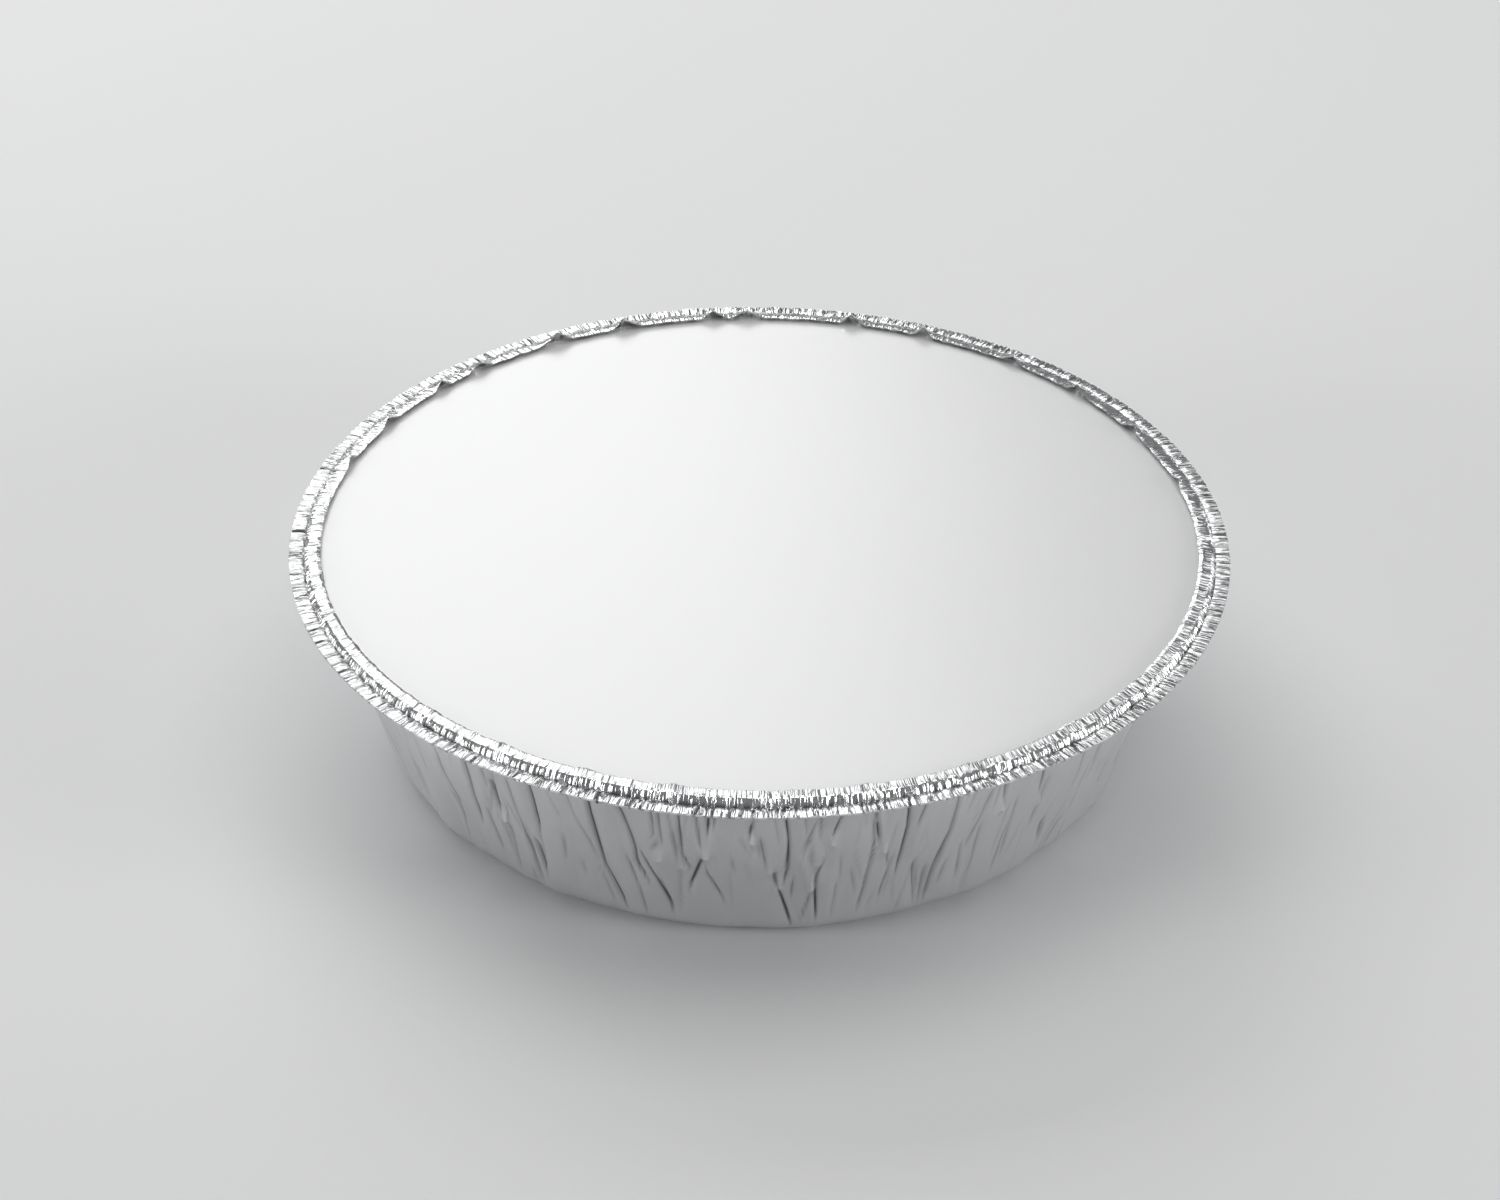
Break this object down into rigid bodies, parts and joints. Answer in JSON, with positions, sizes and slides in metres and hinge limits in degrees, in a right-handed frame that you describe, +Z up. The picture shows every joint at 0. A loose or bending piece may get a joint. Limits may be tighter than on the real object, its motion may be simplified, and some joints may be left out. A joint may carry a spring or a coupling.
{
  "type": "foil pie tin",
  "caption": "Round foil pie tin with a gathered wall, closed by a white board lid that sits on the ledge under the folded, puckered rim.",
  "frame": {"origin": "centre of the base, on the ground that the standing ring rests on", "axes": "+Z up through the middle of the lid; the tin is round, so X and Y are any two directions across it, and -Y faces the picture's camera"},
  "size_m": [0.181, 0.181, 0.0438],
  "materials": {
    "foil": "thin foil, satin on the gathered wall and bright on the crimped rim",
    "board": "smooth white coated board with a soft sheen"
  },
  "bodies": {
    "root": {"tin": "foil", "lid": "board"}
  },
  "joints": []
}
